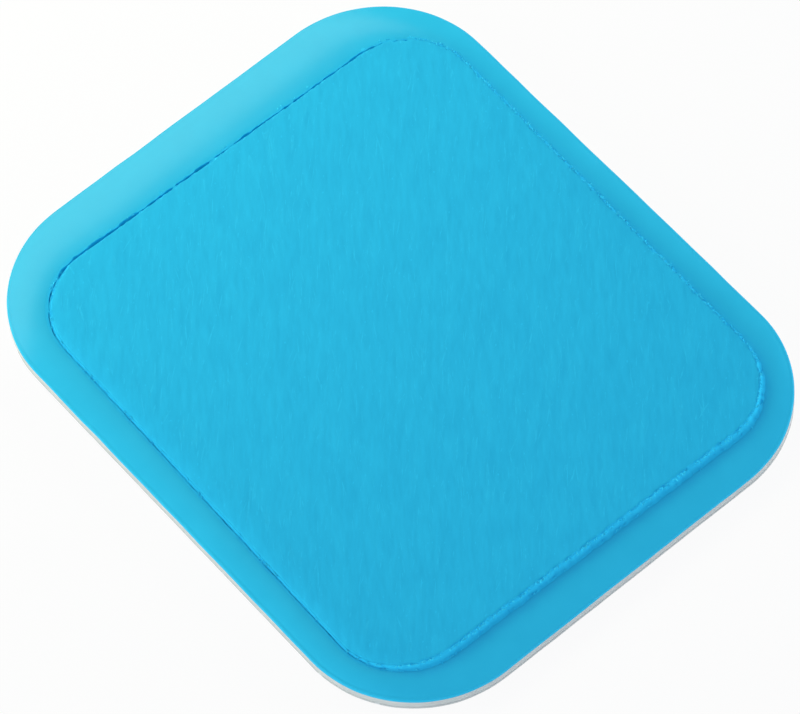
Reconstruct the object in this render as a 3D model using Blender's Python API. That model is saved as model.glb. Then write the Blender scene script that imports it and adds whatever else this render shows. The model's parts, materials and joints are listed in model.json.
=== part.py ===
"""TENS electrode pad: a bonded stack of a release liner, an adhesive gel sheet, a conductive film,
a soft border frame and a raised nonwoven panel.

Metres, +Z up. The origin is at the middle of the underside, with the long sides along X.
"""

import math
from typing import NamedTuple

import bmesh
import bpy

MM = 0.001

# Plan of the pad
PAD_LENGTH = 60.0 * MM
PAD_WIDTH = 50.0 * MM
PAD_CORNER_RADIUS = 11.5 * MM

# The border's width at the middle of each side of its window, which was punched a little off centre
# and a little out of square with the outline
RIM_LEFT = 5.30 * MM
RIM_RIGHT = 3.65 * MM
RIM_FRONT = 2.55 * MM
RIM_BACK = 2.90 * MM
WINDOW_TURN = math.radians(-0.94)
WINDOW_CORNER_RADIUS = 6.75 * MM

# Sheets, from the underside up
LINER_THICKNESS = 0.20 * MM
GEL_THICKNESS = 0.80 * MM
FILM_THICKNESS = 0.15 * MM
PANEL_THICKNESS = 1.50 * MM
BORDER_EDGE_THICKNESS = 0.35 * MM
BORDER_WINDOW_THICKNESS = 0.90 * MM

# Line of bonding adhesive between two sheets
BOND_LINE = 0.05 * MM

# Clearances inside the window. The panel is laid against its right and back sides
FILM_CLEARANCE = 0.40 * MM
PANEL_GAP_LEFT = 0.35 * MM
PANEL_GAP_RIGHT = 0.10 * MM
PANEL_GAP_FRONT = 0.30 * MM
PANEL_GAP_BACK = 0.10 * MM

# Edges
BORDER_EDGE_ROUND = 0.25 * MM
WINDOW_EDGE_ROUND = 0.15 * MM
PANEL_EDGE_ROUND = 0.25 * MM
PANEL_CROWN_HEIGHT = 0.10 * MM
PANEL_CROWN_REACH = 5.0 * MM
SMALLEST_RADIUS = 0.2 * MM

# Facets
CORNER_STEPS = 16
ROUND_STEPS = 4
CROWN_STEPS = 6
SHARP_ANGLE = math.radians(35)


class Outline(NamedTuple):
    """A rectangle with round corners, seen from above. Its sides are measured from its pivot, along
    axes that are turned by an angle from the pad's own."""

    left: float
    right: float
    front: float
    back: float
    radius: float
    pivot: tuple = (0.0, 0.0)
    turn: float = 0.0

    def inset(self, distance):
        """This outline moved in on every side, or out by a negative distance."""
        return self._replace(
            left=self.left + distance,
            right=self.right - distance,
            front=self.front + distance,
            back=self.back - distance,
            radius=max(self.radius - distance, SMALLEST_RADIUS),
        )

    def turned(self, angle):
        """This outline turned about its own middle."""
        x, y = (self.left + self.right) / 2, (self.front + self.back) / 2
        return Outline(
            self.left - x, self.right - x, self.front - y, self.back - y, self.radius, (x, y), angle
        )

    def placed(self, x, y):
        """A point measured from the pivot, in the pad's axes."""
        cos, sin = math.cos(self.turn), math.sin(self.turn)
        return self.pivot[0] + x * cos - y * sin, self.pivot[1] + x * sin + y * cos

    def points(self):
        """(x, y) points in the pad's axes, anticlockwise, with one arc at each corner."""
        corners = (
            (self.right - self.radius, self.back - self.radius),
            (self.left + self.radius, self.back - self.radius),
            (self.left + self.radius, self.front + self.radius),
            (self.right - self.radius, self.front + self.radius),
        )
        found = []
        for quarter, (x, y) in enumerate(corners):
            for step in range(CORNER_STEPS + 1):
                angle = (quarter + step / CORNER_STEPS) * math.pi / 2
                found.append(
                    self.placed(x + self.radius * math.cos(angle), y + self.radius * math.sin(angle))
                )
        return found


def ring(outline, z):
    """An outline's points at one height."""
    return [(x, y, z) for x, y in outline.points()]


def ring_between(outer, inner, share, z):
    """Points this share of the way from one outline to another, at one height."""
    return [
        (x0 + (x1 - x0) * share, y0 + (y1 - y0) * share, z)
        for (x0, y0), (x1, y1) in zip(outer.points(), inner.points())
    ]


def quarter_round(outline, top, radius):
    """Rings that turn from a wall over to the face above it. A negative radius turns at a window's edge."""
    rings = []
    for step in range(ROUND_STEPS + 1):
        angle = step / ROUND_STEPS * math.pi / 2
        height = top - abs(radius) * (1 - math.sin(angle))
        rings.append(ring(outline.inset(radius * (1 - math.cos(angle))), height))
    return rings


def crown(share):
    """Height of a soft crown from 0 at its foot, where it is steepest, to 1 where it levels out."""
    return 1 - (1 - share) ** 2


def loft(rings, has_window=False):
    """A closed mesh through the rings, which run from the underside up. With a window, the last ring
    joins the first. Without one, both are capped."""
    shape = bmesh.new()
    loops = [[shape.verts.new(point) for point in points] for points in rings]
    pairs = list(zip(loops, loops[1:]))
    if has_window:
        pairs.append((loops[-1], loops[0]))
    else:
        shape.faces.new(reversed(loops[0]))
        shape.faces.new(loops[-1])
    count = len(loops[0])
    for low, high in pairs:
        for i in range(count):
            j = (i + 1) % count
            shape.faces.new((low[i], low[j], high[j], high[i]))
    bmesh.ops.recalc_face_normals(shape, faces=shape.faces)
    return shape


def add_object(name, shape, material):
    """The mesh as a named object of the scene, shaded smooth over its rounds."""
    mesh = bpy.data.meshes.new(name)
    shape.to_mesh(mesh)
    shape.free()
    mesh.shade_smooth()
    mesh.set_sharp_from_angle(angle=SHARP_ANGLE)
    mesh.materials.append(material)
    piece = bpy.data.objects.new(name, mesh)
    bpy.context.scene.collection.objects.link(piece)
    return piece


def material(name, colour, roughness):
    """A plain finish of one colour."""
    finish = bpy.data.materials.new(name)
    finish.use_nodes = True
    surface = finish.node_tree.nodes["Principled BSDF"]
    surface.inputs["Base Color"].default_value = (*colour, 1.0)
    surface.inputs["Roughness"].default_value = roughness
    surface.inputs["Metallic"].default_value = 0.0
    return finish


def slab(outline, bottom, thickness):
    """A flat sheet cut square."""
    return loft([ring(outline, bottom), ring(outline, bottom + thickness)])


def border_frame(outline, window, bottom):
    """The soft frame: thin and rounded over at its outer edge, crowned up to its window."""
    edge_top = bottom + BORDER_EDGE_THICKNESS
    window_top = bottom + BORDER_WINDOW_THICKNESS
    crown_foot = outline.inset(BORDER_EDGE_ROUND)
    crown_head = window.inset(-WINDOW_EDGE_ROUND)
    rings = [ring(outline, bottom)]
    rings += quarter_round(outline, edge_top, BORDER_EDGE_ROUND)
    for step in range(1, CROWN_STEPS):
        share = step / CROWN_STEPS
        height = edge_top + (window_top - edge_top) * crown(share)
        rings.append(ring_between(crown_foot, crown_head, share, height))
    rings += reversed(quarter_round(window, window_top, -WINDOW_EDGE_ROUND))
    rings.append(ring(window, bottom))
    return loft(rings, has_window=True)


def nonwoven_panel(outline, bottom):
    """The raised pad: a cut wall, a worn edge and a slight crown that levels out inside it."""
    edge_top = bottom + PANEL_THICKNESS - PANEL_CROWN_HEIGHT
    crown_foot = outline.inset(PANEL_EDGE_ROUND)
    rings = [ring(outline, bottom)]
    rings += quarter_round(outline, edge_top, PANEL_EDGE_ROUND)
    for step in range(1, CROWN_STEPS + 1):
        share = step / CROWN_STEPS
        height = edge_top + PANEL_CROWN_HEIGHT * crown(share)
        rings.append(ring(crown_foot.inset(PANEL_CROWN_REACH * share), height))
    return loft(rings)


def main():
    for old in list(bpy.data.objects):
        bpy.data.objects.remove(old, do_unlink=True)

    pad = Outline(-PAD_LENGTH / 2, PAD_LENGTH / 2, -PAD_WIDTH / 2, PAD_WIDTH / 2, PAD_CORNER_RADIUS)
    window = Outline(
        pad.left + RIM_LEFT,
        pad.right - RIM_RIGHT,
        pad.front + RIM_FRONT,
        pad.back - RIM_BACK,
        WINDOW_CORNER_RADIUS,
    ).turned(WINDOW_TURN)
    panel = window._replace(
        left=window.left + PANEL_GAP_LEFT,
        right=window.right - PANEL_GAP_RIGHT,
        front=window.front + PANEL_GAP_FRONT,
        back=window.back - PANEL_GAP_BACK,
        radius=WINDOW_CORNER_RADIUS - min(PANEL_GAP_RIGHT, PANEL_GAP_BACK),
    )
    gel_bottom = LINER_THICKNESS + BOND_LINE
    border_bottom = gel_bottom + GEL_THICKNESS + BOND_LINE
    panel_bottom = border_bottom + FILM_THICKNESS + BOND_LINE

    add_object(
        "release_liner",
        slab(pad, 0.0, LINER_THICKNESS),
        material("liner_film", (0.74, 0.76, 0.77), 0.25),
    )
    add_object(
        "hydrogel",
        slab(pad, gel_bottom, GEL_THICKNESS),
        material("pale_gel", (0.62, 0.69, 0.70), 0.3),
    )
    add_object(
        "conductive_film",
        slab(window.inset(FILM_CLEARANCE), border_bottom, FILM_THICKNESS),
        material("carbon_film", (0.02, 0.02, 0.022), 0.6),
    )
    add_object(
        "border",
        border_frame(pad, window, border_bottom),
        material("smooth_blue", (0.02, 0.50, 0.78), 0.4),
    )
    add_object(
        "centre_panel",
        nonwoven_panel(panel, panel_bottom),
        material("nonwoven_blue", (0.02, 0.49, 0.77), 0.85),
    )


main()
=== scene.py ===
"""Looks of a TENS electrode pad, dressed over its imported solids.

A smooth blue border frames a raised nonwoven panel. Both lie on a pale gel sheet, which a release
liner covers underneath. Lengths are in metres, +Z is up, and the long sides run along X.
"""

import json
import logging
import math
import random
from dataclasses import dataclass, field
from enum import Enum
from functools import cached_property
from typing import Any, ClassVar

import bpy
import numpy as np
from mathutils import Matrix, Vector, noise

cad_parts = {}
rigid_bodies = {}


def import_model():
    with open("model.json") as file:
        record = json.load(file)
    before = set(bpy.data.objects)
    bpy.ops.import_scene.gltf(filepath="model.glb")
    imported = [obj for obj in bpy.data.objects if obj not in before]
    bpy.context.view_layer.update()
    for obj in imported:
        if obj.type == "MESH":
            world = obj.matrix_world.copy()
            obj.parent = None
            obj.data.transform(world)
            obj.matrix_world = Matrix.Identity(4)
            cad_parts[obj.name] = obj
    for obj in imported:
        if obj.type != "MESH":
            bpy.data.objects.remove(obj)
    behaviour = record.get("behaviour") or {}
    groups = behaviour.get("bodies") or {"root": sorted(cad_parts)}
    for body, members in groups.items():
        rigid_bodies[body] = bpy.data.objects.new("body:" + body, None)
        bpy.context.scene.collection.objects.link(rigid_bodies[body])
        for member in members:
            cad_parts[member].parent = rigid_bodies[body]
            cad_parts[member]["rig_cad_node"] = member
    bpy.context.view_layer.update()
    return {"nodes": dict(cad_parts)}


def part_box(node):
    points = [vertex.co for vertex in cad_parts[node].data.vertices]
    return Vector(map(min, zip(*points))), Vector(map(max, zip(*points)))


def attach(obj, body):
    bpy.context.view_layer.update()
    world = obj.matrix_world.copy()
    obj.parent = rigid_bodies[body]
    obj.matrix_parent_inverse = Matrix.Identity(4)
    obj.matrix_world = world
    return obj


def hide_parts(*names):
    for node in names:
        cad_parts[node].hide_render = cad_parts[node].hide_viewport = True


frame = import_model()

LOG = logging.getLogger("electrode_pad")
BODY = "root"

MM = 0.001
SHARP_ANGLE = math.radians(40)

# Least clearances of the film and the panel inside the window
FILM_CLEARANCE = 0.40 * MM
PANEL_CLEARANCE = 0.10 * MM

# The outlines' round corners, and the turn of the window, which was punched a little out of square
PAD_CORNER_RADIUS = 11.5 * MM
WINDOW_CORNER_RADIUS = 6.75 * MM
PANEL_CORNER_RADIUS = WINDOW_CORNER_RADIUS - PANEL_CLEARANCE
WINDOW_TURN = math.radians(-0.94)

# The way the panel's fibres were combed, anticlockwise from +X
COMBING = math.radians(138.5)

Colour = tuple[float, float, float]


class Node(Enum):
    """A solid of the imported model."""

    LINER = "release_liner"
    GEL = "hydrogel"
    FILM = "conductive_film"
    BORDER = "border"
    PANEL = "centre_panel"


class Slot(Enum):
    """A material slot of the record."""

    LINER_FILM = "liner_film"
    PALE_GEL = "pale_gel"
    CARBON_FILM = "carbon_film"
    SMOOTH_BLUE = "smooth_blue"
    NONWOVEN_BLUE = "nonwoven_blue"


class Side(Enum):
    """A side of the pad, by its outward direction."""

    LEFT = (-1.0, 0.0)
    RIGHT = (1.0, 0.0)
    FRONT = (0.0, -1.0)
    BACK = (0.0, 1.0)


# Outlines and meshes


@dataclass(frozen=True)
class Outline:
    """A rectangle with round corners, seen from above, that may be turned from the pad's axes.

    Args:
        centre: Its middle.
        half_length: From its middle to the sides across X.
        half_width: From its middle to the sides across Y.
        radius: Radius of its corners.
        turn: Its angle from the pad's axes, anticlockwise.
    """

    centre: tuple[float, float]
    half_length: float
    half_width: float
    radius: float
    turn: float = 0.0

    @classmethod
    def of_node(cls, node: Node, radius: float, turn: float = 0.0) -> "Outline":
        """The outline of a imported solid, worked out from its box.

        Args:
            node: The solid.
            radius: Radius of its corners.
            turn: Its angle from the pad's axes.

        Returns:
            The outline whose box, once turned, is the solid's.
        """
        low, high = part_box(node.value)
        middle = (low + high) / 2
        reach_x = (high.x - low.x) / 2 - radius
        reach_y = (high.y - low.y) / 2 - radius
        cos, sin = math.cos(turn), abs(math.sin(turn))
        spread = cos * cos - sin * sin
        return cls(
            centre=(middle.x, middle.y),
            half_length=(cos * reach_x - sin * reach_y) / spread + radius,
            half_width=(cos * reach_y - sin * reach_x) / spread + radius,
            radius=radius,
            turn=turn,
        )

    def inset(self, distance: float, smallest_radius: float = 0.2 * MM) -> "Outline":
        """The outline moved in on every side, or out by a negative distance.

        Args:
            distance: How far each side moves in.
            smallest_radius: The least that its corners are rounded.

        Returns:
            The new outline.
        """
        return Outline(
            self.centre,
            self.half_length - distance,
            self.half_width - distance,
            max(self.radius - distance, smallest_radius),
            self.turn,
        )

    def axes(self) -> np.ndarray:
        """The outline's own axes as the rows of a matrix."""
        cos, sin = math.cos(self.turn), math.sin(self.turn)
        return np.array(((cos, sin), (-sin, cos)))

    def ring(self, arc_steps: int, side_steps: int) -> tuple[np.ndarray, np.ndarray]:
        """Points round the outline, anticlockwise from the start of its right-hand back corner.

        Args:
            arc_steps: Steps along each corner.
            side_steps: Steps along each straight side.

        Returns:
            The points, and the outward direction at each of them.
        """
        x, y = self.half_length - self.radius, self.half_width - self.radius
        corners = np.array(((x, y), (-x, y), (-x, -y), (x, -y)))
        points, outward = [], []
        for quarter, corner in enumerate(corners):
            angles = (quarter + np.arange(arc_steps) / arc_steps) * math.pi / 2
            arc = np.column_stack((np.cos(angles), np.sin(angles)))
            points.append(corner + arc * self.radius)
            outward.append(arc)
            end = (quarter + 1) * math.pi / 2
            straight_out = np.array((math.cos(end), math.sin(end)))
            share = (np.arange(side_steps) / side_steps)[:, None]
            run = corners[(quarter + 1) % len(corners)] - corner
            points.append(corner + straight_out * self.radius + run * share)
            outward.append(np.repeat(straight_out[None, :], side_steps, axis=0))
        axes = self.axes()
        return np.vstack(points) @ axes + np.array(self.centre), np.vstack(outward) @ axes

    def depth(self, points: np.ndarray) -> np.ndarray:
        """How far inside the outline points lie.

        Args:
            points: Their places, one row each.

        Returns:
            The distance in from the nearest side, negative outside.
        """
        own = np.abs((points - np.array(self.centre)) @ self.axes().T)
        past = own - np.array((self.half_length - self.radius, self.half_width - self.radius))
        in_corner = np.hypot(np.maximum(past[:, 0], 0.0), np.maximum(past[:, 1], 0.0))
        return self.radius - in_corner - np.minimum(np.maximum(past[:, 0], past[:, 1]), 0.0)

    def outward(self, points: np.ndarray) -> np.ndarray:
        """The way out of the outline over its nearest side.

        Args:
            points: Places near the outline, one row each.

        Returns:
            The direction at each place.
        """
        own = (points - np.array(self.centre)) @ self.axes().T
        past = np.abs(own) - np.array((self.half_length - self.radius, self.half_width - self.radius))
        way = np.maximum(past, 0.0) + 1e-9 * (past == past.max(axis=1, keepdims=True))
        way *= np.where(own < 0, -1.0, 1.0)
        return way / np.linalg.norm(way, axis=1)[:, None] @ self.axes()


class Skin:
    """A mesh that grows by rings of points, from the underside up and inwards."""

    def __init__(self) -> None:
        """An empty mesh."""
        self.points: list[np.ndarray] = []
        self.faces: list[tuple[int, ...]] = []
        self.count = 0

    def add(self, points: np.ndarray) -> range:
        """Adds points.

        Args:
            points: Their places, one row each.

        Returns:
            The points' indices.
        """
        self.points.append(points)
        self.count += len(points)
        return range(self.count - len(points), self.count)

    def ring(self, places: np.ndarray, heights: np.ndarray | float) -> range:
        """Adds a ring of points.

        Args:
            places: Their places seen from above, anticlockwise.
            heights: Their heights, or one height for all.

        Returns:
            The points' indices.
        """
        column = np.broadcast_to(heights, (len(places),))
        return self.add(np.column_stack((places, column)))

    def bridge(self, low: range, high: range) -> None:
        """Joins two rings with faces.

        Args:
            low: The lower or outer ring.
            high: The upper or inner ring, with as many points or a whole fraction of them.
        """
        fine = len(low) // len(high)
        for i in range(len(high)):
            j = (i + 1) % len(high)
            edge = [low[(i * fine + k) % len(low)] for k in range(fine + 1)]
            self.faces.append((*edge, high[j], high[i]))

    def close(self, ring: range, facing_up: bool) -> None:
        """Fills a ring with one face that looks up or down."""
        self.faces.append(tuple(ring) if facing_up else tuple(reversed(ring)))

    def build(self, name: str) -> bpy.types.Object:
        """Makes the mesh an object of the scene.

        Args:
            name: The object's name.

        Returns:
            The object, shaded smooth up to its sharp edges.
        """
        mesh = bpy.data.meshes.new(name)
        mesh.from_pydata(np.vstack(self.points).tolist(), [], self.faces)
        mesh.validate()
        mesh.shade_smooth()
        mesh.set_sharp_from_angle(angle=SHARP_ANGLE)
        piece = bpy.data.objects.new(name, mesh)
        bpy.context.scene.collection.objects.link(piece)
        return piece


class FibreSkin(Skin):
    """A mesh of many closed fibres, each a thin three-sided strand that tapers to its ends."""

    ROUND = np.radians((90.0, 210.0, 330.0))

    def fibre(self, path: np.ndarray, half_width: float, half_height: float) -> None:
        """Adds one fibre.

        Args:
            path: Points along its middle, one row each.
            half_width: Half its width at the middle, across the path and level.
            half_height: Half its height at the middle.
        """
        along = np.gradient(path, axis=0)
        along /= np.linalg.norm(along, axis=1)[:, None]
        across = np.cross(along, (0.0, 0.0, 1.0))
        size = np.linalg.norm(across, axis=1)
        across[size < 1e-3] = (1.0, 0.0, 0.0)
        across /= np.linalg.norm(across, axis=1)[:, None]
        over = np.cross(across, along)
        share = np.linspace(0.0, 1.0, len(path))[1:-1]
        swell = np.sin(share * math.pi) ** 0.6
        start = self.add(path[:1])[0]
        before: range | None = None
        for index, grown in enumerate(swell, start=1):
            sides = np.cos(self.ROUND)[:, None] * across[index] * half_width * grown
            heights = np.sin(self.ROUND)[:, None] * over[index] * half_height * grown
            now = self.add(path[index] + sides + heights)
            for i in range(3):
                j = (i + 1) % 3
                if before is None:
                    self.faces.append((start, now[i], now[j]))
                else:
                    self.faces.append((before[i], now[i], now[j], before[j]))
            before = now
        end = self.add(path[-1:])[0]
        for i in range(3):
            self.faces.append((before[(i + 1) % 3], before[i], end))


def wander(points: np.ndarray, wavelength: float, seed: float) -> np.ndarray:
    """Smooth noise, from about -1 to 1, that is the same each run.

    Args:
        points: Places, one row each, of two or three numbers.
        wavelength: The length over which it changes.
        seed: Which of many noises it is.

    Returns:
        The noise at each place.
    """
    offset = Vector((seed * 17.3, seed * 7.9, seed * 3.1))
    flat = points.shape[1] == 2
    return np.array(
        [
            noise.noise(Vector((*row, 0.0) if flat else row) / wavelength + offset) * 2
            for row in points
        ]
    )


def smooth_step(values: np.ndarray, start: float, end: float) -> np.ndarray:
    """A smooth rise from 0 at start to 1 at end."""
    share = np.clip((values - start) / (end - start), 0.0, 1.0)
    return share * share * (3 - 2 * share)


# Finishes


class Shader:
    """A material's node tree, with short ways to add nodes and join them."""

    def __init__(self, name: str) -> None:
        """A new material with a plain Principled surface."""
        self.material = bpy.data.materials.new(name)
        self.material.use_nodes = True
        self.tree = self.material.node_tree
        self.surface = self.tree.nodes["Principled BSDF"]

    def set(self, **values: Any) -> None:
        """Sets the surface's own sockets, by their names with _ for each space."""
        for name, value in values.items():
            self.surface.inputs[name.replace("_", " ")].default_value = value

    def node(self, kind: str, inputs: dict[str | int, Any] | None = None, **settings: Any) -> Any:
        """Adds a node.

        Args:
            kind: Its type, without the words ShaderNode before it.
            inputs: Numbers for its sockets, or the sockets that feed them.
            settings: Its own settings.

        Returns:
            The node.
        """
        made = self.tree.nodes.new("ShaderNode" + kind)
        for name, value in settings.items():
            setattr(made, name, value)
        for name, value in (inputs or {}).items():
            if isinstance(value, bpy.types.NodeSocket):
                self.tree.links.new(value, made.inputs[name])
            else:
                made.inputs[name].default_value = value
        return made

    def link(self, source: Any, socket: str) -> None:
        """Joins a socket to one of the surface's."""
        self.tree.links.new(source, self.surface.inputs[socket])

    def streaks(self, length: float, width: float, angle: float, detail: float = 2.0) -> Any:
        """Noise drawn out along a direction of the pad.

        Args:
            length: The noise's grain along the direction.
            width: Its grain across the direction.
            angle: The direction, anticlockwise from +X.
            detail: How many finer octaves it has.

        Returns:
            The socket of the noise, from 0 to 1 about a half.
        """
        place = self.node("TexCoord").outputs["Object"]
        mapped = self.node(
            "Mapping",
            {"Vector": place, "Rotation": (0.0, 0.0, angle), "Scale": (length, width, width)},
            vector_type="TEXTURE",
        )
        made = self.node(
            "TexNoise", {"Vector": mapped.outputs[0], "Scale": 1.0, "Detail": detail, "Roughness": 0.55}
        )
        return made.outputs["Fac"]

    def cloud(self, grain: float, detail: float = 2.0) -> Any:
        """Even noise of one grain, from 0 to 1 about a half."""
        return self.streaks(grain, grain, 0.0, detail)

    def span(self, source: Any, low: float, high: float) -> Any:
        """A socket's values from low to high, stretched to 0 to 1 and cut off there."""
        return self.node("MapRange", {"Value": source, "From Min": low, "From Max": high}).outputs[0]

    def mix(self, share: Any, first: Any, second: Any) -> Any:
        """Mixes two colours.

        Args:
            share: How much of the second there is, from 0 to 1, or the socket of it.
            first: The first colour, or its socket.
            second: The second colour, or its socket.

        Returns:
            The socket of the mixed colour.
        """
        made = self.node("Mix", data_type="RGBA")
        for socket, value in ((made.inputs[0], share), (made.inputs[6], first), (made.inputs[7], second)):
            if isinstance(value, bpy.types.NodeSocket):
                self.tree.links.new(value, socket)
            else:
                socket.default_value = value if isinstance(value, float) else (*value, 1.0)
        return made.outputs[2]

    def total(self, *terms: tuple[Any, float]) -> Any:
        """The weighted sum of some sockets.

        Args:
            terms: Each socket with its weight.

        Returns:
            The socket of the sum.
        """
        found: Any = 0.0
        for source, weight in terms:
            found = self.node(
                "Math", {0: source, 1: weight, 2: found}, operation="MULTIPLY_ADD"
            ).outputs[0]
        return found

    def tint(self, source: Any, low: float, high: float, first: Any, second: Any) -> None:
        """Colours the surface from first to second as a socket's values run from low to high."""
        self.link(self.mix(self.span(source, low, high), first, second), "Base Color")

    def vary_roughness(self, source: Any, low: float, high: float) -> None:
        """Lets the roughness run from low to high as a socket's values run from 0 to 1."""
        spread = self.node("MapRange", {"Value": source, "To Min": low, "To Max": high})
        self.link(spread.outputs[0], "Roughness")

    def scatter(self, share: float, reach: float) -> None:
        """Lets this share of the light pass about this far into the surface and out again."""
        self.set(
            Subsurface_Weight=share, Subsurface_Scale=reach, Subsurface_Radius=(0.8, 1.0, 1.0)
        )

    def relief(self, height: Any, depth: float) -> None:
        """Gives the surface a bump.

        Args:
            height: The socket of its height, from 0 to 1.
            depth: The height that 1 stands for.
        """
        bump = self.node("Bump", {"Height": height, "Strength": 1.0, "Distance": depth})
        self.link(bump.outputs["Normal"], "Normal")


@dataclass(frozen=True)
class NonwovenFinish:
    """Needled fibre: fine combed streaks, a few knots, and hardly any shine. What faces right, along
    +X, is painted paler: painted light, standing in for light that passes through the felt into
    that flank."""

    name: str = "nonwoven_blue"
    thin: Colour = (0.0170, 0.444, 0.760)
    thick: Colour = (0.0235, 0.528, 0.852)
    knot: Colour = (0.0275, 0.550, 0.880)
    # Painted light: the paler blue laid on what faces +X, standing in for light through the felt
    painted_light_tone: Colour = (0.0270, 0.568, 0.890)
    roughness: float = 0.85
    specular: float = 0.16
    relief_depth: float = 0.012 * MM

    def build(self) -> bpy.types.Material:
        """Makes the material.

        Returns:
            The material.
        """
        shader = Shader(self.name)
        broad = shader.streaks(3.0 * MM, 0.50 * MM, COMBING)
        leaning = shader.streaks(1.9 * MM, 0.38 * MM, COMBING + math.radians(9))
        fine = shader.streaks(1.1 * MM, 0.17 * MM, COMBING - math.radians(5), detail=1.0)
        cloud = shader.cloud(2.8 * MM)
        streaked = shader.total((broad, 0.42), (leaning, 0.30), (fine, 0.13), (cloud, 0.15))
        body = shader.mix(shader.span(streaked, 0.32, 0.68), self.thin, self.thick)
        knots = shader.span(shader.streaks(0.34 * MM, 0.20 * MM, COMBING, detail=0.0), 0.74, 0.86)
        knotted = shader.mix(knots, body, self.knot)
        # Painted light: surfaces whose normal faces +X are mixed towards the paler blue
        facing = shader.node("SeparateXYZ", {0: shader.node("NewGeometry").outputs["Normal"]})
        painted_light_share = shader.span(facing.outputs[0], 0.15, 0.55)
        shader.link(shader.mix(painted_light_share, knotted, self.painted_light_tone), "Base Color")
        shader.set(Roughness=self.roughness, Specular_IOR_Level=self.specular)
        shader.relief(shader.total((broad, 0.45), (leaning, 0.30), (fine, 0.25)), self.relief_depth)
        return shader.material


@dataclass(frozen=True)
class FibreFinish:
    """Fibre of the panel that lies loose on it or stands out of its cut edge.

    Args:
        name: The material's name.
        dull: The colour where its tone is deepest.
        bright: The colour where it catches the light.
        roughness: How much it scatters a highlight.
        specular: How strong the highlight is.
    """

    name: str
    dull: Colour
    bright: Colour
    roughness: float = 0.75
    specular: float = 0.2

    def build(self) -> bpy.types.Material:
        """Makes the material.

        Returns:
            The material.
        """
        shader = Shader(self.name)
        shader.tint(shader.cloud(0.5 * MM, detail=1.0), 0.35, 0.65, self.dull, self.bright)
        shader.set(Roughness=self.roughness, Specular_IOR_Level=self.specular)
        return shader.material


@dataclass(frozen=True)
class SmoothSkinFinish:
    """The border's soft elastomer: even, satin, and faintly clouded."""

    name: str = "smooth_blue"
    deep: Colour = (0.0225, 0.500, 0.790)
    pale: Colour = (0.0245, 0.520, 0.815)
    roughness: float = 0.23
    specular: float = 0.18
    relief_depth: float = 0.0006 * MM

    def build(self) -> bpy.types.Material:
        """Makes the material.

        Returns:
            The material.
        """
        shader = Shader(self.name)
        cloud = shader.cloud(3.5 * MM)
        grain = shader.cloud(0.12 * MM)
        shader.tint(cloud, 0.3, 0.7, self.deep, self.pale)
        shader.vary_roughness(cloud, self.roughness - 0.03, self.roughness + 0.03)
        shader.set(Specular_IOR_Level=self.specular)
        shader.relief(grain, self.relief_depth)
        return shader.material


@dataclass(frozen=True)
class GelFinish:
    """The pale adhesive gel, faintly clear and wet at its cut edge."""

    name: str = "pale_gel"
    clear: Colour = (0.560, 0.605, 0.600)
    milky: Colour = (0.625, 0.660, 0.650)
    roughness: float = 0.32
    scatter: float = 0.25
    scatter_reach: float = 0.5 * MM

    def build(self) -> bpy.types.Material:
        """Makes the material.

        Returns:
            The material.
        """
        shader = Shader(self.name)
        cloud = shader.cloud(1.4 * MM)
        shader.tint(cloud, 0.3, 0.7, self.clear, self.milky)
        shader.set(Roughness=self.roughness)
        shader.scatter(self.scatter, self.scatter_reach)
        shader.relief(shader.cloud(0.25 * MM), 0.004 * MM)
        return shader.material


@dataclass(frozen=True)
class LinerFinish:
    """The liner's pale film: glossy, with faint drawn marks and a few small bubbles under it."""

    name: str = "liner_film"
    film: Colour = (0.570, 0.610, 0.600)
    wetted: Colour = (0.615, 0.650, 0.640)
    bubble: Colour = (0.740, 0.780, 0.785)
    roughness: float = 0.24

    def build(self) -> bpy.types.Material:
        """Makes the material.

        Returns:
            The material.
        """
        shader = Shader(self.name)
        wetting = shader.cloud(6.0 * MM)
        body = shader.mix(shader.span(wetting, 0.35, 0.65), self.film, self.wetted)
        bubbles = shader.span(shader.cloud(0.9 * MM, detail=0.0), 0.72, 0.78)
        shader.link(shader.mix(bubbles, body, self.bubble), "Base Color")
        drawn = shader.streaks(14.0 * MM, 0.35 * MM, 0.0)
        shader.vary_roughness(drawn, self.roughness - 0.06, self.roughness + 0.08)
        shader.relief(drawn, 0.002 * MM)
        return shader.material


@dataclass(frozen=True)
class CarbonFinish:
    """The conductive film: matt black carbon with a fine grain."""

    name: str = "carbon_film"
    dark: Colour = (0.014, 0.014, 0.016)
    light: Colour = (0.028, 0.028, 0.031)
    roughness: float = 0.6

    def build(self) -> bpy.types.Material:
        """Makes the material.

        Returns:
            The material.
        """
        shader = Shader(self.name)
        grain = shader.cloud(0.3 * MM)
        shader.tint(grain, 0.35, 0.65, self.dark, self.light)
        shader.set(Roughness=self.roughness)
        shader.relief(grain, 0.004 * MM)
        return shader.material


# The pad's pieces


@dataclass
class Piece:
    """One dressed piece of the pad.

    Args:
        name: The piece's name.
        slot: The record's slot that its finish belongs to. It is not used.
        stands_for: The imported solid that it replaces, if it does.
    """

    name: str
    slot: Slot
    stands_for: Node | None = None

    def dress(self, shape: bpy.types.Object, material: bpy.types.Material) -> bpy.types.Object:
        """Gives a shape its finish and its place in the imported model.

        Args:
            shape: The shape.
            material: Its material.

        Returns:
            The same shape.
        """
        shape.data.materials.clear()
        shape.data.materials.append(material)
        if self.stands_for is not None:
            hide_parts(self.stands_for.value)
        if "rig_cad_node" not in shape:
            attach(shape, BODY)
        LOG.info("%s: %d faces in %s", shape.name, len(shape.data.polygons), material.name)
        return shape


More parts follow.
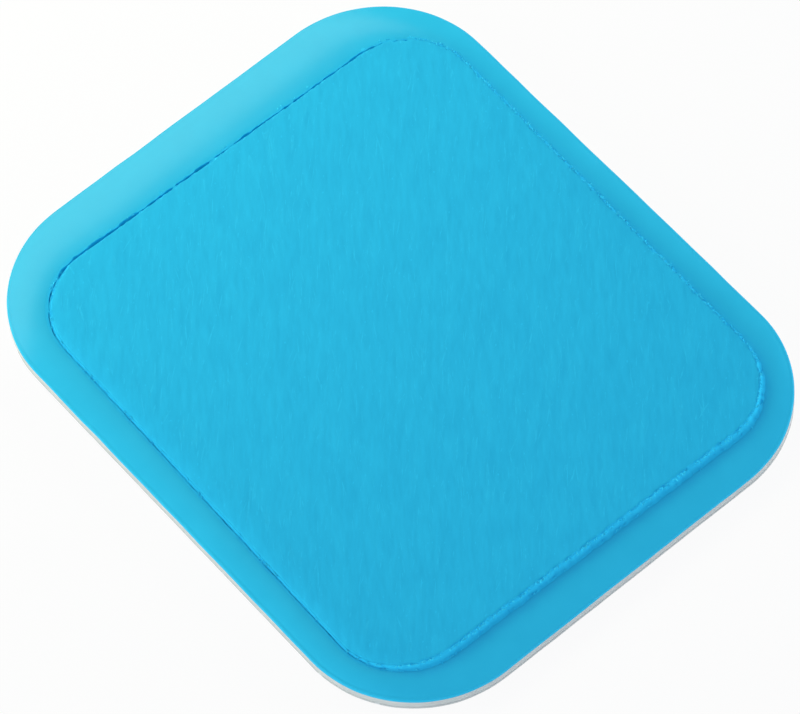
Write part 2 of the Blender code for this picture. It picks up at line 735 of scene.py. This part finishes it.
@dataclass
class Sheet(Piece):
    """A flat sheet, cut to the pad's outline, with a wall that swells a little.

    Args:
        swell: How far the wall stands out at half its height.
        waver: How far the cut strays in and out.
        lip: How far the wall's top and bottom edges are set in.
        rise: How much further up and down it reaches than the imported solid, into the bond lines.
        wall_steps: Steps up the wall.
        arc_steps: Steps along each corner.
        side_steps: Steps along each straight side.
    """

    swell: float = 0.03 * MM
    waver: float = 0.015 * MM
    lip: float = 0.03 * MM
    rise: float = 0.0
    wall_steps: int = 6
    arc_steps: int = 48
    side_steps: int = 96

    def shape(self) -> bpy.types.Object:
        """Builds the sheet's mesh.

        Returns:
            The object.
        """
        low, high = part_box(self.stands_for.value)
        outline = Outline.of_node(self.stands_for, PAD_CORNER_RADIUS)
        places, outward = outline.ring(self.arc_steps, self.side_steps)
        bottom, top = low.z - min(self.rise, low.z), high.z + self.rise
        stray = wander(places, 2.5 * MM, 1.0) * self.waver
        skin = Skin()
        rings = []
        for step in range(self.wall_steps + 1):
            share = step / self.wall_steps
            bulge = self.swell * (math.sin(share * math.pi) - 1) - self.waver
            end = self.lip if step in (0, self.wall_steps) else 0.0
            offset = (bulge + stray - end)[:, None]
            rings.append(skin.ring(places + outward * offset, bottom + (top - bottom) * share))
        for lower, upper in zip(rings, rings[1:]):
            skin.bridge(lower, upper)
        skin.close(rings[0], facing_up=False)
        skin.close(rings[-1], facing_up=True)
        return skin.build(self.name)


@dataclass(frozen=True)
class CutEdge:
    """How one side of the panel was cut, and how it meets the border's window.

    Args:
        round_radius: How softly its top edge turns over.
        stray: How far the cut strays in and out.
        crease_place: Where the crease lies, from 0 at the wall to 1 at the window.
        crease_width: Width of the crease.
        crease_depth: Depth of the crease.
        tufts: Loose tufts on each millimetre of the top edge.
        foot_tufts: Loose tufts on each millimetre of its foot.
        lean: How far the top of its wall lies inside its foot.
        drop: How far its top edge was pressed down.
        flare: How far loose felt spreads out from the foot of its wall.
        lip: How high the torn fibres stand along its top edge.
    """

    round_radius: float
    stray: float
    crease_place: float
    crease_width: float
    crease_depth: float
    tufts: float
    foot_tufts: float
    lean: float = 0.0
    drop: float = 0.0
    flare: float = 0.0
    lip: float = 0.0


CUT_EDGES: dict[Side, CutEdge] = {
    Side.LEFT: CutEdge(
        round_radius=0.09 * MM,
        lean=0.32 * MM,
        stray=0.10 * MM,
        crease_place=0.34,
        crease_width=0.15 * MM,
        crease_depth=0.30 * MM,
        tufts=0.8,
        foot_tufts=0.2,
    ),
    Side.FRONT: CutEdge(
        round_radius=0.12 * MM,
        lean=0.03 * MM,
        drop=0.50 * MM,
        stray=0.03 * MM,
        crease_place=0.22,
        crease_width=0.09 * MM,
        crease_depth=0.24 * MM,
        tufts=0.4,
        foot_tufts=0.2,
    ),
    Side.RIGHT: CutEdge(
        round_radius=0.22 * MM,
        lean=0.10 * MM,
        stray=0.06 * MM,
        flare=0.42 * MM,
        crease_place=0.60,
        crease_width=0.01 * MM,
        crease_depth=0.005 * MM,
        lip=0.008 * MM,
        tufts=4.0,
        foot_tufts=2.5,
    ),
    Side.BACK: CutEdge(
        round_radius=0.20 * MM,
        stray=0.11 * MM,
        flare=0.32 * MM,
        crease_place=0.60,
        crease_width=0.01 * MM,
        crease_depth=0.005 * MM,
        lip=0.012 * MM,
        tufts=5.0,
        foot_tufts=1.0,
    ),
}

# Places along the left side where the felt has pulled away from the border: how far along, how
# far each reaches to either hand, and how much more the crease gapes there
PULLS = (
    (-17.4 * MM, 0.8 * MM, 1.6),
    (-13.3 * MM, 1.0 * MM, 1.3),
    (-11.4 * MM, 2.6 * MM, 0.7),
    (-9.5 * MM, 0.9 * MM, 1.5),
    (-5.2 * MM, 1.6 * MM, 0.6),
    (-1.4 * MM, 0.8 * MM, 0.9),
    (3.2 * MM, 1.2 * MM, 0.6),
)


def of_sides(outward: np.ndarray, measure: str) -> np.ndarray:
    """One measure of the cut edges, blended round the corners.

    Args:
        outward: The outward direction at each point.
        measure: The measure's name.

    Returns:
        Its value at each point.
    """
    found = np.zeros(len(outward))
    for side, edge in CUT_EDGES.items():
        found += np.maximum(outward @ np.array(side.value), 0.0) ** 2 * getattr(edge, measure)
    return found


@dataclass
class Border(Piece):
    """The soft frame: rounded over at its outer edge and crowned up to its window.

    Args:
        edge_height: Thickness at the outer edge.
        edge_round: Radius of the outer edge.
        window_round: Radius at the window's edge.
        base_round: How far in its underside starts, and how high its wall does.
        undulation: How far its top lies off a true crown.
        waver: How far its outer cut strays inwards.
        crown_steps: Steps from the outer edge to the window.
        round_steps: Steps round each edge.
        arc_steps: Steps along each corner.
        side_steps: Steps along each straight side.
    """

    edge_height: float = 0.35 * MM
    edge_round: float = 0.25 * MM
    window_round: float = 0.02 * MM
    base_round: float = 0.02 * MM
    undulation: float = 0.012 * MM
    waver: float = 0.02 * MM
    crown_steps: int = 18
    round_steps: int = 7
    arc_steps: int = 48
    side_steps: int = 144

    def crown(self, share: float) -> float:
        """Height of the crown from 0 at its foot to 1 where it levels out."""
        return 1 - (1 - share) ** 2

    def shape(self, window: Outline) -> bpy.types.Object:
        """The frame's mesh.

        Args:
            window: The outline of its window.

        Returns:
            The object.
        """
        low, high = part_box(self.stands_for.value)
        edge_top = low.z + self.edge_height
        outer, outward = Outline.of_node(self.stands_for, PAD_CORNER_RADIUS).ring(
            self.arc_steps, self.side_steps
        )
        inner, window_out = window.ring(self.arc_steps, self.side_steps)
        stray = wander(outer, 3.0 * MM, 4.0) * self.waver - self.waver
        outer = outer + outward * stray[:, None]
        skin = Skin()
        rings = [
            skin.ring(outer - outward * self.base_round, low.z),
            skin.ring(outer, low.z + self.base_round),
        ]
        for angle in np.linspace(0.0, math.pi / 2, self.round_steps):
            inward = self.edge_round * (1 - math.cos(angle))
            height = edge_top - self.edge_round * (1 - math.sin(angle))
            rings.append(skin.ring(outer - outward * inward, height))
        foot = outer - outward * self.edge_round
        head = inner + window_out * self.window_round
        for step in range(1, self.crown_steps):
            share = step / self.crown_steps
            places = foot + (head - foot) * share
            uneven = wander(places, 6.0 * MM, 5.0) * self.undulation * math.sin(share * math.pi)
            rings.append(
                skin.ring(places, edge_top + (high.z - edge_top) * self.crown(share) + uneven)
            )
        for angle in np.linspace(math.pi / 2, 0.0, self.round_steps):
            inward = self.window_round * (1 - math.cos(angle))
            height = high.z - self.window_round * (1 - math.sin(angle))
            rings.append(skin.ring(inner + window_out * inward, height))
        rings.append(skin.ring(inner, low.z))
        for lower, upper in zip(rings, rings[1:]):
            skin.bridge(lower, upper)
        skin.bridge(rings[-1], rings[0])
        return skin.build(self.name)


@dataclass
class Panel(Piece):
    """The raised nonwoven pad, cut out with a die and laid in the border's window.

    Args:
        crown_height: How far its middle stands above its edge.
        crown_reach: How far in the crown levels out.
        drop_reach: How far in its pressed edges level out.
        foot_fill: How much of the gap to the window's wall its foot fills.
        foot_lap: Where its felt ends over the window's edge, from 0 at the wall to 1 at the edge.
        foot_top: Where the felt's top levels out, on the same measure.
        ledge: Height above its bottom of the felt that laps the window's edge.
        waist: Height above its bottom of the foot of its wall.
        floor_left: The least felt that the crease leaves above the bottom.
        undulation: How far its top lies off a true crown.
        lip_width: How wide its torn lip is.
        pull_depth: How far in it stands where it has pulled away.
        shag: How far the wall's fibres stand in and out.
        arc_steps: Steps along each corner.
        side_steps: Steps along each straight side.
        coarse: How many of those steps make one in its middle.
        round_steps: Steps round its top edge.
    """

    # Shares of the wall's height that its rings lie at, and the share where the flare ends
    WALL_SHARES: ClassVar = (0.0, 0.04, 0.10, 0.20, 0.34, 0.55, 0.78)
    FLARE_TOP: ClassVar = 0.7
    # How far inside the rounded edge the top's first rings lie, and the step between the later ones
    TOP_STEPS: ClassVar = np.array((0.07, 0.14, 0.22, 0.31, 0.42, 0.56, 0.75, 1.0, 1.35, 1.8)) * MM
    RING_STEP: ClassVar = 0.55 * MM

    crown_height: float = 0.10 * MM
    crown_reach: float = 5.0 * MM
    drop_reach: float = 2.4 * MM
    foot_fill: float = 0.985
    foot_lap: float = 1.06
    foot_top: float = 0.97
    ledge: float = 0.704 * MM
    waist: float = 0.72 * MM
    floor_left: float = 0.05 * MM
    undulation: float = 0.010 * MM
    lip_width: float = 0.22 * MM
    pull_depth: float = 0.07 * MM
    shag: float = 0.02 * MM
    arc_steps: int = 96
    side_steps: int = 320
    coarse: int = 4
    round_steps: int = 7

    @cached_property
    def bottom(self) -> float:
        """Height of its underside."""
        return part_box(self.stands_for.value)[0].z

    @cached_property
    def edge_top(self) -> float:
        """Height of its top edge, under the crown."""
        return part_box(self.stands_for.value)[1].z - self.crown_height

    @cached_property
    def outline(self) -> Outline:
        """The outline of its wall."""
        return Outline.of_node(self.stands_for, PANEL_CORNER_RADIUS, WINDOW_TURN)

    def top_at(self, places: np.ndarray, depth: np.ndarray) -> np.ndarray:
        """Height of its top.

        Args:
            places: Places seen from above, one row each.
            depth: How far inside the outline each lies.

        Returns:
            The height at each place.
        """
        share = np.clip(depth / self.crown_reach, 0.0, 1.0)
        crown = 1 - (1 - share) ** 2
        uneven = wander(places, 5.0 * MM, 9.0) * smooth_step(depth, 0.0, 2.0 * MM)
        pressed = np.clip(1 - depth / self.drop_reach, 0.0, 1.0) ** 2
        drop = of_sides(self.outline.outward(places), "drop") * pressed
        return self.edge_top + self.crown_height * crown + uneven * self.undulation - drop

    def cut(self, places: np.ndarray, outward: np.ndarray) -> np.ndarray:
        """How far the die's cut strays out.

        Args:
            places: Points of the wall seen from above, one row each.
            outward: The outward direction at each.

        Returns:
            The distance at each point.
        """
        slow = wander(places, 1.9 * MM, 2.0)
        quick = wander(places, 0.55 * MM, 3.0)
        sharp = wander(places, 0.28 * MM, 15.0)
        stray = (slow * 0.4 + quick * 0.5 + sharp * 0.45 - 0.15) * of_sides(outward, "stray")
        return stray - self.pulled(places, outward) * self.pull_depth

    def pulled(self, places: np.ndarray, outward: np.ndarray) -> np.ndarray:
        """How much the felt has pulled away from the border.

        Args:
            places: Points of the wall seen from above, one row each.
            outward: The outward direction at each.

        Returns:
            A measure at each point, 0 where the felt lies as it was cut.
        """
        on_left = np.maximum(-outward[:, 0], 0.0) ** 4
        found = np.zeros(len(places))
        for along, reach, extra in PULLS:
            found += extra * np.exp(-(((places[:, 1] - along) / reach) ** 2))
        return on_left * found

    def gape(self, places: np.ndarray, outward: np.ndarray) -> np.ndarray:
        """How much the crease gapes. It is steadier along the front.

        Args:
            places: Points of the wall seen from above, one row each.
            outward: The outward direction at each.

        Returns:
            A measure at each point, about 0.75 where the crease is plain.
        """
        uneven = 0.45 * wander(places, 1.1 * MM, 12.0) + 0.5 * wander(places, 0.35 * MM, 13.0)
        steadied = 1 - 0.6 * np.maximum(-outward[:, 1], 0.0) ** 2
        return np.clip(0.75 + uneven * steadied + self.pulled(places, outward), 0.15, 3.0)

    def foot(self, skin: Skin, window: Outline) -> list[range]:
        """Adds the rings that spread from the wall to the window, with the crease between.

        Args:
            skin: The mesh that takes them.
            window: The outline of the border's window.

        Returns:
            The rings, from the underside up.
        """
        wall, outward = self.outline.ring(self.arc_steps, self.side_steps)
        gap = window.ring(self.arc_steps, self.side_steps)[0] - wall
        reach = np.linalg.norm(gap, axis=1)
        gape = self.gape(wall, outward)
        middle = of_sides(outward, "crease_place") + 0.08 * wander(wall, 0.7 * MM, 14.0)
        half = of_sides(outward, "crease_width") / 2 * gape**1.2 / reach
        near, far = np.clip(middle - half, 0.02, 0.80), np.clip(middle + half, 0.08, 0.90)
        low = self.bottom + self.ledge
        base = low - of_sides(outward, "crease_depth") * gape
        steps = (
            (self.foot_fill, self.bottom),
            (self.foot_fill, low - 0.008 * MM),
            (self.foot_lap, low - 0.003 * MM),
            (self.foot_top, low),
            (far, low),
            ((near + far) / 2, np.maximum(base, self.bottom + self.floor_left)),
            (near, low),
        )
        rings = []
        for share, heights in steps:
            rings.append(skin.ring(wall + gap * np.reshape(share, (-1, 1)), heights))
        return rings

    def shape(self, window: Outline) -> bpy.types.Object:
        """The panel's mesh.

        Args:
            window: The outline of the border's window.

        Returns:
            The object.
        """
        wall, outward = self.outline.ring(self.arc_steps, self.side_steps)
        stray = self.cut(wall, outward)
        radius = of_sides(outward, "round_radius")
        skin = Skin()
        rings = self.foot(skin, window)
        low = self.bottom + self.waist
        edge = self.edge_top - of_sides(outward, "drop")
        lean, flare = of_sides(outward, "lean"), of_sides(outward, "flare")
        for share in self.WALL_SHARES:
            heights = low + (edge - radius - low) * share
            shaggy = wander(np.column_stack((wall, heights)), 0.3 * MM, 6.0) * self.shag
            spread = flare * max(1 - share / self.FLARE_TOP, 0.0) ** 3
            offset = stray + shaggy - lean * share + spread
            rings.append(skin.ring(wall + outward * offset[:, None], heights))
        stray = stray - lean
        for angle in np.linspace(0.0, math.pi / 2, self.round_steps):
            inward = radius * (1 - math.cos(angle))
            heights = edge - radius * (1 - math.sin(angle))
            places = wall + outward * (stray - inward)[:, None]
            rings.append(skin.ring(places, heights + self.torn(places, outward, inward)))
        for extra in self.TOP_STEPS:
            inward = radius + extra
            places = wall + outward * (stray * (1 - extra / self.TOP_STEPS[-1]) - inward)[:, None]
            heights = self.top_at(places, inward) + self.torn(places, outward, inward)
            rings.append(skin.ring(places, heights))
        for depth in np.arange(3.0 * MM, self.outline.half_width - 0.3 * MM, self.RING_STEP):
            places = self.outline.inset(depth).ring(
                self.arc_steps // self.coarse, self.side_steps // self.coarse
            )[0]
            rings.append(skin.ring(places, self.top_at(places, np.full(len(places), depth))))
        for lower, upper in zip(rings, rings[1:]):
            skin.bridge(lower, upper)
        skin.close(rings[0], facing_up=False)
        skin.close(rings[-1], facing_up=True)
        return skin.build(self.name)

    def torn(self, places: np.ndarray, outward: np.ndarray, inward: np.ndarray) -> np.ndarray:
        """How high the torn fibres of the lip stand.

        Args:
            places: Places seen from above, one row each.
            outward: The outward direction at each.
            inward: How far each lies in from the wall.

        Returns:
            The height to add at each place.
        """
        radius = of_sides(outward, "round_radius")
        ridge = np.exp(-(((inward - radius * 0.9) / (self.lip_width / 2)) ** 2))
        ragged = 0.45 + 1.0 * wander(places, 0.30 * MM, 8.0)
        return of_sides(outward, "lip") * ridge * np.clip(ragged, 0.0, 1.6)


@dataclass
class Strands(Piece):
    """Thicker strands of fibre that lie combed on the panel's top.

    Args:
        count: How many there are.
        shortest: The shortest one's length.
        longest: The longest one's length.
        lean: How far they lean from the combing, as a standard deviation.
        bend: The most that they bow to either side, as a share of their length.
        half_widths: Half the width of the thinnest and the thickest.
        half_heights: Half the height of the flattest and the roundest.
        margin: How far inside the panel's outline they stay.
        points: Points along each.
        seed: Which of many scatters they make.
    """

    count: int = 1300
    shortest: float = 0.6 * MM
    longest: float = 2.6 * MM
    lean: float = math.radians(9)
    bend: float = 0.12
    half_widths: tuple[float, float] = (0.045 * MM, 0.11 * MM)
    half_heights: tuple[float, float] = (0.004 * MM, 0.009 * MM)
    margin: float = 0.7 * MM
    points: int = 8
    seed: int = 11

    def shape(self, panel: Panel) -> bpy.types.Object:
        """The strands' mesh.

        Args:
            panel: The panel that they lie on.

        Returns:
            The object.
        """
        draw = random.Random(self.seed)
        outline = panel.outline
        skin = FibreSkin()
        made = 0
        while made < self.count:
            start = np.array(outline.centre) + np.array(
                (
                    draw.uniform(-outline.half_length, outline.half_length),
                    draw.uniform(-outline.half_width, outline.half_width),
                )
            )
            length = self.shortest + (self.longest - self.shortest) * draw.random() ** 2
            angle = COMBING + draw.gauss(0.0, self.lean)
            bend = draw.uniform(-self.bend, self.bend)
            half_width = draw.uniform(*self.half_widths)
            half_height = draw.uniform(*self.half_heights)
            share = np.linspace(-0.5, 0.5, self.points)
            along = np.array((math.cos(angle), math.sin(angle)))
            across = np.array((-along[1], along[0]))
            places = start + length * (share[:, None] * along + (share**2 * bend)[:, None] * across)
            depth = outline.depth(places)
            if depth.min() < self.margin:
                continue
            skin.fibre(np.column_stack((places, panel.top_at(places, depth))), half_width, half_height)
            made += 1
        return skin.build(self.name)


@dataclass
class Fray(Piece):
    """Tufts of loose fibre along the panel's cut edge.

    Args:
        shortest: The shortest fibre's length.
        longest: The longest fibre's length.
        reach: How far a tuft's roots lie apart.
        fibres: Fibres in a tuft.
        half_widths: Half the width of the thinnest and the thickest fibre.
        droop: How far a fibre's end hangs, as a share of its length.
        points: Points along each fibre.
        seed: Which of many scatters they make.
    """

    shortest: float = 0.12 * MM
    longest: float = 0.36 * MM
    reach: float = 0.06 * MM
    fibres: int = 3
    half_widths: tuple[float, float] = (0.028 * MM, 0.070 * MM)
    droop: float = 0.35
    points: int = 5
    seed: int = 23

    def shape(self, panel: Panel) -> bpy.types.Object:
        """The tufts' mesh.

        Args:
            panel: The panel that they grow from.

        Returns:
            The object.
        """
        draw = random.Random(self.seed)
        wall, outward = panel.outline.ring(panel.arc_steps, panel.side_steps)
        wall = wall + outward * panel.cut(wall, outward)[:, None]
        radius = of_sides(outward, "round_radius")
        step = np.linalg.norm(np.roll(wall, -1, axis=0) - wall, axis=1) / MM
        top_chance = of_sides(outward, "tufts") * step
        foot_chance = of_sides(outward, "foot_tufts") * step
        foot = panel.bottom + panel.waist
        flare = of_sides(outward, "flare")
        drop = of_sides(outward, "drop")
        skin = FibreSkin()
        edges = zip(wall, outward, radius, drop, flare, top_chance, foot_chance)
        for place, out, turn, sunk, spread, on_top, on_foot in edges:
            if draw.random() < on_top:
                inward = turn * draw.uniform(0.1, 0.9)
                root = np.array((*(place - out * inward), panel.edge_top - sunk - turn * 0.15))
                self.tuft(skin, draw, root, out, lift=draw.uniform(0.0, 0.5), size=1.0)
            if draw.random() < on_foot:
                height = foot + draw.uniform(0.0, 0.06) * MM
                root = np.array((*(place + out * spread * draw.uniform(0.3, 0.7)), height))
                self.tuft(skin, draw, root, out, lift=draw.uniform(0.0, 0.3), size=0.7)
        return skin.build(self.name)

    def tuft(
        self,
        skin: FibreSkin,
        draw: random.Random,
        root: np.ndarray,
        out: np.ndarray,
        lift: float,
        size: float,
    ) -> None:
        """Adds one tuft.

        Args:
            skin: The mesh that takes its fibres.
            draw: Where its random numbers come from.
            root: Where it grows from.
            out: The outward direction there.
            lift: How steeply it rises.
            size: Its size, 1 for a plain one.
        """
        along_edge = np.array((-out[1], out[0], 0.0))
        outward = np.array((out[0], out[1], 0.0))
        for _ in range(self.fibres):
            start = root + along_edge * draw.uniform(-self.reach, self.reach)
            start[2] += draw.uniform(-self.reach, self.reach) / 2
            direction = outward * draw.uniform(0.1, 0.9) + along_edge * draw.uniform(-1.2, 1.2)
            direction[2] = lift + draw.uniform(-0.2, 0.2)
            direction /= np.linalg.norm(direction)
            length = draw.uniform(self.shortest, self.longest) * size
            share = np.linspace(0.0, 1.0, self.points)[:, None]
            droop = np.array((0.0, 0.0, -self.droop * length)) * share**2
            path = start + direction * length * share + droop
            half_width = draw.uniform(*self.half_widths) * size
            skin.fibre(path, half_width, half_width)


# The studio


@dataclass(frozen=True)
class SoftBox:
    """A lamp with a flat oblong face that looks at the pad.

    Args:
        name: The lamp's name.
        bearing: Its direction seen from above, anticlockwise from +X.
        elevation: Its height above the horizon.
        distance: How far away it is.
        width: The level side of its face.
        height: The other side of its face.
        power: Its power in watts.
        colour: The colour of its light.
        mirrored: Whether glossy surfaces mirror it.
    """

    name: str
    bearing: float
    elevation: float
    distance: float
    width: float
    height: float
    power: float
    colour: Colour
    mirrored: bool = True

    def build(self) -> bpy.types.Object:
        """Adds the lamp to the scene.

        Returns:
            The lamp.
        """
        data = bpy.data.lights.new(self.name, "AREA")
        data.shape = "RECTANGLE"
        data.size = self.width
        data.size_y = self.height
        data.energy = self.power
        data.color = self.colour
        lamp = bpy.data.objects.new(self.name, data)
        level = math.cos(self.elevation)
        away = Vector(
            (math.cos(self.bearing) * level, math.sin(self.bearing) * level, math.sin(self.elevation))
        )
        lamp.location = away * self.distance
        lamp.rotation_euler = away.to_track_quat("Z", "Y").to_euler()
        lamp.visible_glossy = self.mirrored
        bpy.context.scene.collection.objects.link(lamp)
        return lamp


WARM: Colour = (1.0, 1.0, 0.60)
MILD: Colour = (1.0, 1.0, 0.90)
COOL: Colour = (0.65, 0.72, 1.0)

SOFT_BOXES = (
    SoftBox(
        "low_key",
        bearing=math.radians(182),
        elevation=math.radians(37),
        distance=0.136,
        width=0.17,
        height=0.05,
        power=0.101,
        colour=WARM,
    ),
    SoftBox(
        "high_key",
        bearing=math.radians(180),
        elevation=math.radians(62),
        distance=0.17,
        width=0.10,
        height=0.10,
        power=0.022,
        colour=WARM,
        mirrored=False,
    ),
    SoftBox(
        "right_strip",
        bearing=0.0,
        elevation=math.radians(4),
        distance=0.60,
        width=1.10,
        height=0.08,
        power=1.60,
        colour=MILD,
        mirrored=False,
    ),
    SoftBox(
        "front_strip",
        bearing=math.radians(255),
        elevation=math.radians(16),
        distance=0.60,
        width=0.70,
        height=0.22,
        power=2.55,
        colour=MILD,
        mirrored=False,
    ),
    SoftBox(
        "back_strip",
        bearing=math.radians(85),
        elevation=math.radians(12),
        distance=0.60,
        width=0.70,
        height=0.22,
        power=2.60,
        colour=MILD,
        mirrored=False,
    ),
)


@dataclass(frozen=True)
class Viewpoint:
    """The camera's place, which looks down on the pad over its front right corner.

    Args:
        aim: The point at the middle of the picture.
        azimuth: Its direction seen from above, anticlockwise from -Y.
        elevation: Its height above the horizon.
        roll: How far it is turned about its own axis.
        distance: How far it is from the aim.
        lens: Its focal length in millimetres, over a sensor 36 wide.
    """

    aim: Vector = field(default_factory=lambda: Vector((1.18, -0.70, 1.10)) * MM)
    azimuth: float = math.radians(55.184)
    elevation: float = math.radians(60.096)
    roll: float = math.radians(-6.174)
    distance: float = 497.31 * MM
    lens: float = 261.95

    def build(self) -> bpy.types.Object:
        """Adds the camera and sets it as the scene's own.

        Returns:
            The camera.
        """
        data = bpy.data.cameras.new("camera")
        data.lens = self.lens
        data.sensor_width = 36.0
        data.clip_start = 0.01
        data.clip_end = 20.0
        camera = bpy.data.objects.new("camera", data)
        level = math.cos(self.elevation)
        away = Vector(
            (math.sin(self.azimuth) * level, -math.cos(self.azimuth) * level, math.sin(self.elevation))
        )
        facing = away.to_track_quat("Z", "Y").to_matrix().to_4x4()
        place = Matrix.Translation(self.aim + away * self.distance)
        camera.matrix_world = place @ facing @ Matrix.Rotation(self.roll, 4, "Z")
        bpy.context.scene.collection.objects.link(camera)
        bpy.context.scene.camera = camera
        return camera


@dataclass
class Studio:
    """A pale floor, two soft boxes on the left, a strip on each other side, and an even surround.

    Args:
        floor_reach: How far the floor runs to each side.
        floor_gap: How far it lies under the pad.
        floor_colour: The floor's own colour.
        floor_white: How much of what the camera sees of the floor is plain white.
        surround: The colour of the surround's light.
        surround_strength: Its strength.
        boxes: The lamps.
    """

    floor_reach: float = 3.0
    floor_gap: float = 0.01 * MM
    floor_colour: Colour = (0.82, 0.83, 0.84)
    floor_white: float = 0.92
    surround: Colour = COOL
    surround_strength: float = 0.434
    boxes: tuple[SoftBox, ...] = SOFT_BOXES

    def build(self) -> None:
        """The floor, the surround, the lamps and the camera."""
        self.floor()
        self.world()
        for box in self.boxes:
            box.build()
        Viewpoint().build()
        bpy.context.scene.view_settings.view_transform = "Standard"
        LOG.info("studio: %d soft boxes, floor and surround", len(self.boxes))

    def floor(self) -> None:
        """A wide level floor that keeps the pad's shadow and looks white to the camera."""
        skin = Skin()
        reach = self.floor_reach
        corners = np.array(((-reach, -reach), (reach, -reach), (reach, reach), (-reach, reach)))
        skin.close(skin.ring(corners, -self.floor_gap), facing_up=True)
        floor = skin.build("floor")
        shader = Shader("pale_floor")
        shader.set(Base_Color=(*self.floor_colour, 1.0), Roughness=0.9, Specular_IOR_Level=0.1)
        seen = shader.node("LightPath").outputs["Is Camera Ray"]
        share = shader.node("Math", {0: seen, 1: self.floor_white}, operation="MULTIPLY")
        white = shader.node("Emission", {"Color": (1.0, 1.0, 1.0, 1.0), "Strength": 1.0})
        mixed = shader.node(
            "MixShader",
            {0: share.outputs[0], 1: shader.surface.outputs[0], 2: white.outputs[0]},
        )
        out = shader.tree.nodes["Material Output"]
        shader.tree.links.new(mixed.outputs[0], out.inputs["Surface"])
        floor.data.materials.append(shader.material)

    def world(self) -> None:
        """An even surround that lights the pad, and is white where the camera sees it."""
        world = bpy.data.worlds.new("surround")
        world.use_nodes = True
        bpy.context.scene.world = world
        tree = world.node_tree
        tree.nodes.clear()
        light = tree.nodes.new("ShaderNodeBackground")
        light.inputs["Color"].default_value = (*self.surround, 1.0)
        light.inputs["Strength"].default_value = self.surround_strength
        white = tree.nodes.new("ShaderNodeBackground")
        white.inputs["Color"].default_value = (1.0, 1.0, 1.0, 1.0)
        mixed = tree.nodes.new("ShaderNodeMixShader")
        path = tree.nodes.new("ShaderNodeLightPath")
        tree.links.new(path.outputs["Is Camera Ray"], mixed.inputs[0])
        tree.links.new(light.outputs[0], mixed.inputs[1])
        tree.links.new(white.outputs[0], mixed.inputs[2])
        out = tree.nodes.new("ShaderNodeOutputWorld")
        tree.links.new(mixed.outputs[0], out.inputs["Surface"])


def main() -> None:
    """Builds the pad's pieces from the underside up, and the studio round them."""
    logging.basicConfig(level=logging.INFO, format="%(message)s")
    film = Outline.of_node(Node.FILM, WINDOW_CORNER_RADIUS - FILM_CLEARANCE, WINDOW_TURN)
    window = film.inset(-FILM_CLEARANCE)

    liner = Sheet("liner_sheet", Slot.LINER_FILM, Node.LINER, swell=0.0, wall_steps=3)
    liner.dress(liner.shape(), LinerFinish().build())

    gel = Sheet("gel_sheet", Slot.PALE_GEL, Node.GEL, rise=0.045 * MM)
    gel.dress(gel.shape(), GelFinish().build())

    carbon = Piece("conductive_film", Slot.CARBON_FILM)
    carbon.dress(frame["nodes"][Node.FILM.value], CarbonFinish().build())

    border = Border("border_frame", Slot.SMOOTH_BLUE, Node.BORDER)
    border.dress(border.shape(window), SmoothSkinFinish().build())

    panel = Panel("nonwoven_panel", Slot.NONWOVEN_BLUE, Node.PANEL)
    panel.dress(panel.shape(window), NonwovenFinish().build())

    combed = FibreFinish("combed_fibre_blue", (0.0190, 0.490, 0.805), (0.0235, 0.545, 0.870))
    strands = Strands("combed_strands", Slot.NONWOVEN_BLUE)
    strands.dress(strands.shape(panel), combed.build())
    loose = FibreFinish("loose_fibre_blue", (0.022, 0.510, 0.800), (0.046, 0.640, 0.880))
    fray = Fray("frayed_edge", Slot.NONWOVEN_BLUE)
    fray.dress(fray.shape(panel), loose.build())

    Studio().build()


if __name__ == "__main__":
    main()
